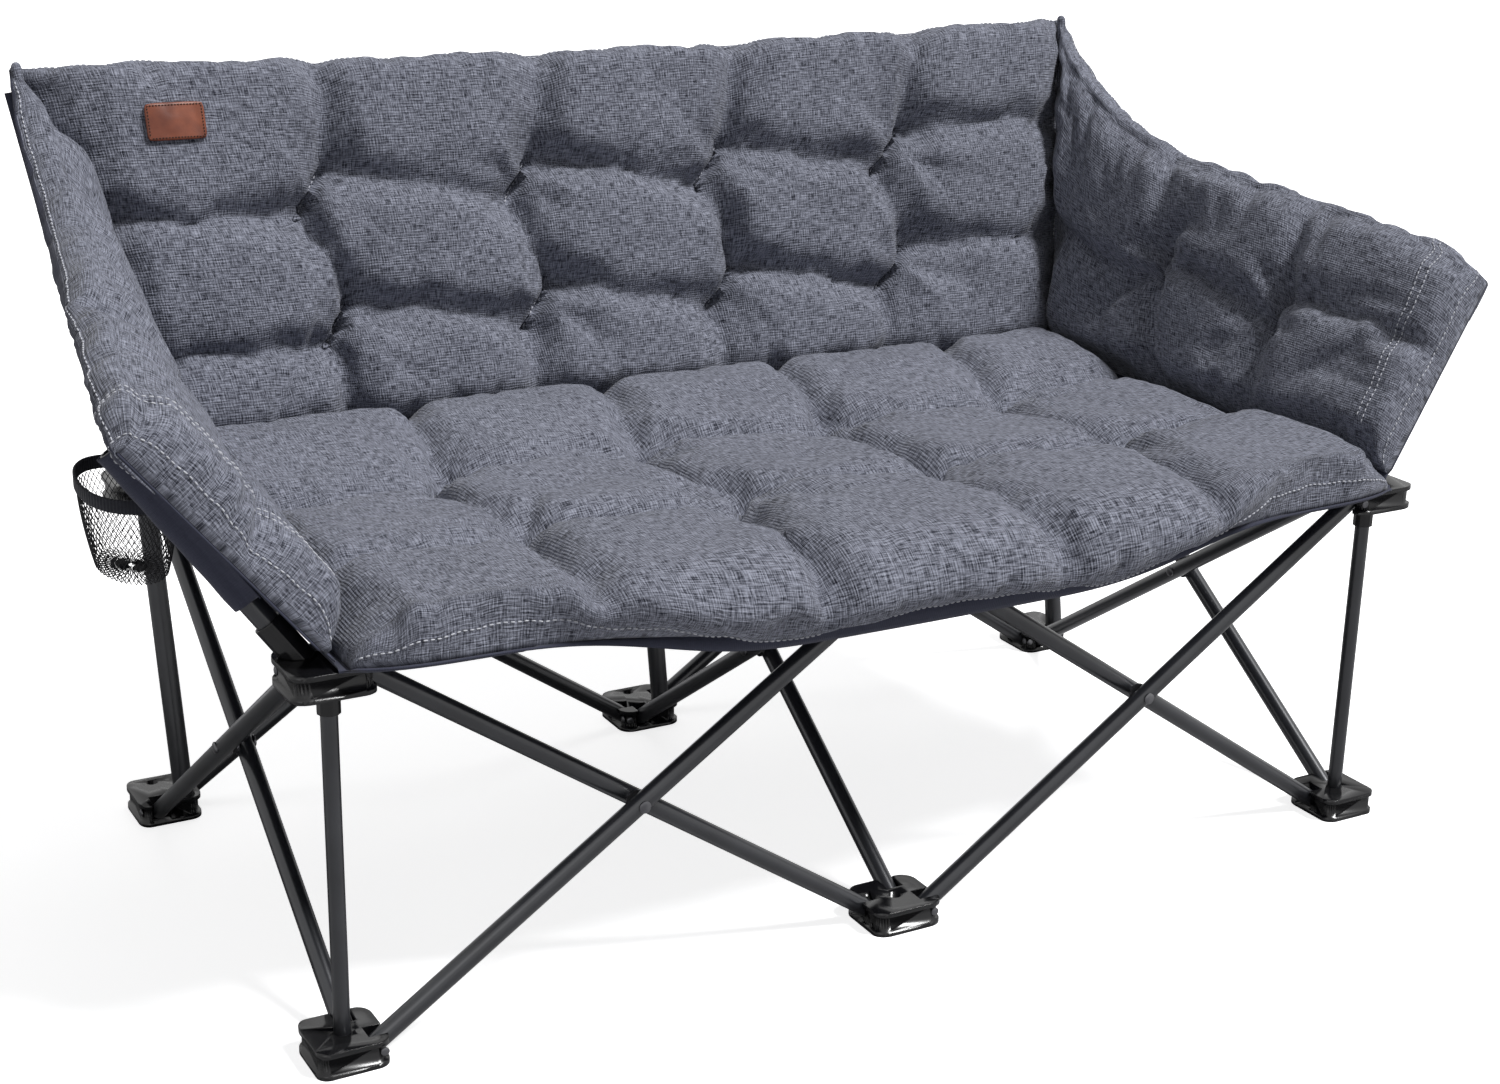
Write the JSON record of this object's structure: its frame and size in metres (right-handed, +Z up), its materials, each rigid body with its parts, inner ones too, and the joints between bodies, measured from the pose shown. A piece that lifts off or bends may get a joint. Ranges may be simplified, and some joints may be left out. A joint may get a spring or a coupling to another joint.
{
  "type": "folding camping loveseat",
  "caption": "Padded folding camping loveseat: crossed steel legs pinned in moulded feet and hubs gather up, under a tufted seat, back and swept arms, with a net pocket on one arm.",
  "frame": {"origin": "on the ground under the middle of the object's outline", "axes": "+X along the seat towards the sitter's left, +Y towards the back, +Z up"},
  "size_m": [1.5492, 0.8672, 0.824],
  "materials": {
    "coated_steel": "satin black powder coat",
    "black_plastic": "glossy moulded black",
    "heather_fabric": "heathered slate blue weave",
    "plain_fabric": "plain dark slate weave",
    "leather": "smooth brown with a stitched edge",
    "net": "black open net"
  },
  "bodies": {
    "foot_front_left": {"foot_front_left": "black_plastic", "strut_front_left": "coated_steel", "strut_cap_front_left": "black_plastic"},
    "hub_front_left": {"hub_front_left": "black_plastic", "arm_bow_left": "coated_steel", "arm_socket_left": "black_plastic", "bow_sleeve_left": "plain_fabric", "arm_cushion_left": "heather_fabric", "arm_panel_left": "plain_fabric", "pocket_net": "net", "pocket_rim": "plain_fabric"},
    "foot_front_center": {"foot_front_center": "black_plastic"},
    "hub_front_center": {"hub_front_center": "black_plastic", "seat_cushion": "heather_fabric", "seat_sling": "plain_fabric"},
    "foot_front_right": {"foot_front_right": "black_plastic", "strut_front_right": "coated_steel", "strut_cap_front_right": "black_plastic"},
    "hub_front_right": {"hub_front_right": "black_plastic", "arm_bow_right": "coated_steel", "arm_socket_right": "black_plastic", "bow_sleeve_right": "plain_fabric", "arm_cushion_right": "heather_fabric", "arm_panel_right": "plain_fabric"},
    "foot_rear_left": {"foot_rear_left": "black_plastic", "strut_rear_left": "coated_steel", "strut_cap_rear_left": "black_plastic"},
    "hub_rear_left": {"hub_rear_left": "black_plastic", "back_pole_left": "coated_steel", "pole_sleeve_left": "plain_fabric"},
    "foot_rear_center": {"foot_rear_center": "black_plastic", "strut_rear_center": "coated_steel", "strut_cap_rear_center": "black_plastic"},
    "hub_rear_center": {"hub_rear_center": "black_plastic", "back_pole_center": "coated_steel", "pole_sleeve_center": "plain_fabric", "back_cushion": "heather_fabric", "back_panel": "plain_fabric", "leather_patch": "leather"},
    "foot_rear_right": {"foot_rear_right": "black_plastic", "strut_rear_right": "coated_steel", "strut_cap_rear_right": "black_plastic"},
    "hub_rear_right": {"hub_rear_right": "black_plastic", "back_pole_right": "coated_steel", "pole_sleeve_right": "plain_fabric"},
    "side_leg_left_from_front": {"side_leg_left_from_front": "coated_steel"},
    "side_leg_left_from_rear": {"side_leg_left_from_rear": "coated_steel"},
    "side_leg_center_from_front": {"side_leg_center_from_front": "coated_steel"},
    "side_leg_center_from_rear": {"side_leg_center_from_rear": "coated_steel"},
    "side_leg_right_from_front": {"side_leg_right_from_front": "coated_steel"},
    "side_leg_right_from_rear": {"side_leg_right_from_rear": "coated_steel"},
    "front_leg_left_bay_rising_right": {"front_leg_left_bay_rising_right": "coated_steel"},
    "front_leg_left_bay_rising_left": {"front_leg_left_bay_rising_left": "coated_steel"},
    "front_leg_right_bay_rising_right": {"front_leg_right_bay_rising_right": "coated_steel"},
    "front_leg_right_bay_rising_left": {"front_leg_right_bay_rising_left": "coated_steel"},
    "rear_leg_left_bay_rising_right": {"rear_leg_left_bay_rising_right": "coated_steel"},
    "rear_leg_left_bay_rising_left": {"rear_leg_left_bay_rising_left": "coated_steel"},
    "rear_leg_right_bay_rising_right": {"rear_leg_right_bay_rising_right": "coated_steel"},
    "rear_leg_right_bay_rising_left": {"rear_leg_right_bay_rising_left": "coated_steel"}
  },
  "joints": [
    {"name": "fold", "type": "hinge", "parent": "foot_front_center", "child": "side_leg_center_from_front", "pos_m": [0.0102, -0.30057, 0.015], "axis": [1, 0, 0], "range_deg": [0, 49], "deforming": ["seat_cushion", "seat_sling", "back_cushion", "back_panel", "leather_patch", "arm_cushion_left", "arm_panel_left", "arm_cushion_right", "arm_panel_right"]},
    {"name": "front_right_bay_leg_in_center_foot", "type": "hinge", "parent": "foot_front_center", "child": "front_leg_right_bay_rising_right", "pos_m": [0.03, -0.33677, 0.015], "axis": [0, 1, 0], "range_deg": [-49, 0]},
    {"name": "front_left_bay_leg_in_center_foot", "type": "hinge", "parent": "foot_front_center", "child": "front_leg_left_bay_rising_left", "pos_m": [-0.03, -0.31637, 0.015], "axis": [0, 1, 0], "range_deg": [0, 49]},
    {"name": "center_side_legs_cross", "type": "hinge", "parent": "side_leg_center_from_front", "child": "side_leg_center_from_rear", "pos_m": [0, -0.02757, 0.2], "axis": [1, 0, 0], "range_deg": [-98, 0]},
    {"name": "front_right_bay_legs_cross", "type": "hinge", "parent": "front_leg_right_bay_rising_right", "child": "front_leg_right_bay_rising_left", "pos_m": [0.303, -0.32657, 0.2], "axis": [0, 1, 0], "range_deg": [0, 98]},
    {"name": "front_left_bay_legs_cross", "type": "hinge", "parent": "front_leg_left_bay_rising_left", "child": "front_leg_left_bay_rising_right", "pos_m": [-0.303, -0.32657, 0.2], "axis": [0, 1, 0], "range_deg": [-98, 0]},
    {"name": "front_center_hub_on_side_leg", "type": "hinge", "parent": "side_leg_center_from_rear", "child": "hub_front_center", "pos_m": [-0.0102, -0.30057, 0.385], "axis": [1, 0, 0], "range_deg": [0, 49]},
    {"name": "front_right_hub_on_front_leg", "type": "hinge", "parent": "front_leg_right_bay_rising_right", "child": "hub_front_right", "pos_m": [0.576, -0.33677, 0.385], "axis": [0, 1, 0], "range_deg": [0, 49]},
    {"name": "front_left_hub_on_front_leg", "type": "hinge", "parent": "front_leg_left_bay_rising_left", "child": "hub_front_left", "pos_m": [-0.576, -0.31637, 0.385], "axis": [0, 1, 0], "range_deg": [-49, 0]},
    {"name": "front_right_foot_on_front_leg", "type": "hinge", "parent": "front_leg_right_bay_rising_left", "child": "foot_front_right", "pos_m": [0.576, -0.31637, 0.015], "axis": [0, 1, 0], "range_deg": [-49, 0]},
    {"name": "front_left_foot_on_front_leg", "type": "hinge", "parent": "front_leg_left_bay_rising_right", "child": "foot_front_left", "pos_m": [-0.576, -0.33677, 0.015], "axis": [0, 1, 0], "range_deg": [0, 49]},
    {"name": "rear_center_foot_on_side_leg", "type": "hinge", "parent": "side_leg_center_from_rear", "child": "foot_rear_center", "pos_m": [-0.0102, 0.24543, 0.015], "axis": [1, 0, 0], "range_deg": [0, 49]},
    {"name": "rear_center_hub_on_side_leg", "type": "hinge", "parent": "side_leg_center_from_front", "child": "hub_rear_center", "pos_m": [0.0102, 0.24543, 0.385], "axis": [1, 0, 0], "range_deg": [-49, 0]},
    {"name": "left_side_leg_in_front_foot", "type": "hinge", "parent": "foot_front_left", "child": "side_leg_left_from_front", "pos_m": [-0.5958, -0.30057, 0.015], "axis": [1, 0, 0], "range_deg": [0, 49]},
    {"name": "right_side_leg_in_front_foot", "type": "hinge", "parent": "foot_front_right", "child": "side_leg_right_from_front", "pos_m": [0.6162, -0.30057, 0.015], "axis": [1, 0, 0], "range_deg": [0, 49]},
    {"name": "left_side_legs_cross", "type": "hinge", "parent": "side_leg_left_from_front", "child": "side_leg_left_from_rear", "pos_m": [-0.606, -0.02757, 0.2], "axis": [1, 0, 0], "range_deg": [-98, 0]},
    {"name": "right_side_legs_cross", "type": "hinge", "parent": "side_leg_right_from_front", "child": "side_leg_right_from_rear", "pos_m": [0.606, -0.02757, 0.2], "axis": [1, 0, 0], "range_deg": [-98, 0]},
    {"name": "rear_left_foot_on_side_leg", "type": "hinge", "parent": "side_leg_left_from_rear", "child": "foot_rear_left", "pos_m": [-0.6162, 0.24543, 0.015], "axis": [1, 0, 0], "range_deg": [0, 49]},
    {"name": "rear_right_foot_on_side_leg", "type": "hinge", "parent": "side_leg_right_from_rear", "child": "foot_rear_right", "pos_m": [0.5958, 0.24543, 0.015], "axis": [1, 0, 0], "range_deg": [0, 49]},
    {"name": "rear_left_hub_on_side_leg", "type": "hinge", "parent": "side_leg_left_from_front", "child": "hub_rear_left", "pos_m": [-0.5958, 0.24543, 0.385], "axis": [1, 0, 0], "range_deg": [-49, 0]},
    {"name": "rear_right_hub_on_side_leg", "type": "hinge", "parent": "side_leg_right_from_front", "child": "hub_rear_right", "pos_m": [0.6162, 0.24543, 0.385], "axis": [1, 0, 0], "range_deg": [-49, 0]},
    {"name": "rear_left_bay_leg_on_center_hub", "type": "hinge", "parent": "hub_rear_center", "child": "rear_leg_left_bay_rising_right", "pos_m": [-0.03, 0.28163, 0.385], "axis": [0, 1, 0], "range_deg": [-49, 0]},
    {"name": "rear_left_bay_leg_in_center_foot", "type": "hinge", "parent": "foot_rear_center", "child": "rear_leg_left_bay_rising_left", "pos_m": [-0.03, 0.26123, 0.015], "axis": [0, 1, 0], "range_deg": [0, 49]},
    {"name": "rear_right_bay_leg_in_center_foot", "type": "hinge", "parent": "foot_rear_center", "child": "rear_leg_right_bay_rising_right", "pos_m": [0.03, 0.28163, 0.015], "axis": [0, 1, 0], "range_deg": [-49, 0]},
    {"name": "rear_right_bay_leg_on_center_hub", "type": "hinge", "parent": "hub_rear_center", "child": "rear_leg_right_bay_rising_left", "pos_m": [0.03, 0.26123, 0.385], "axis": [0, 1, 0], "range_deg": [0, 49]}
  ],
  "couplings": [
    {"joint": "front_right_bay_leg_in_center_foot", "follows": "fold", "ratio": -1},
    {"joint": "front_left_bay_leg_in_center_foot", "follows": "fold", "ratio": 1},
    {"joint": "center_side_legs_cross", "follows": "fold", "ratio": -2},
    {"joint": "front_right_bay_legs_cross", "follows": "fold", "ratio": 2},
    {"joint": "front_left_bay_legs_cross", "follows": "fold", "ratio": -2},
    {"joint": "front_center_hub_on_side_leg", "follows": "fold", "ratio": 1},
    {"joint": "front_right_hub_on_front_leg", "follows": "fold", "ratio": 1},
    {"joint": "front_left_hub_on_front_leg", "follows": "fold", "ratio": -1},
    {"joint": "front_right_foot_on_front_leg", "follows": "fold", "ratio": -1},
    {"joint": "front_left_foot_on_front_leg", "follows": "fold", "ratio": 1},
    {"joint": "rear_center_foot_on_side_leg", "follows": "fold", "ratio": 1},
    {"joint": "rear_center_hub_on_side_leg", "follows": "fold", "ratio": -1},
    {"joint": "left_side_leg_in_front_foot", "follows": "fold", "ratio": 1},
    {"joint": "right_side_leg_in_front_foot", "follows": "fold", "ratio": 1},
    {"joint": "left_side_legs_cross", "follows": "fold", "ratio": -2},
    {"joint": "right_side_legs_cross", "follows": "fold", "ratio": -2},
    {"joint": "rear_left_foot_on_side_leg", "follows": "fold", "ratio": 1},
    {"joint": "rear_right_foot_on_side_leg", "follows": "fold", "ratio": 1},
    {"joint": "rear_left_hub_on_side_leg", "follows": "fold", "ratio": -1},
    {"joint": "rear_right_hub_on_side_leg", "follows": "fold", "ratio": -1},
    {"joint": "rear_left_bay_leg_on_center_hub", "follows": "fold", "ratio": -1},
    {"joint": "rear_left_bay_leg_in_center_foot", "follows": "fold", "ratio": 1},
    {"joint": "rear_right_bay_leg_in_center_foot", "follows": "fold", "ratio": -1},
    {"joint": "rear_right_bay_leg_on_center_hub", "follows": "fold", "ratio": 1}
  ]
}
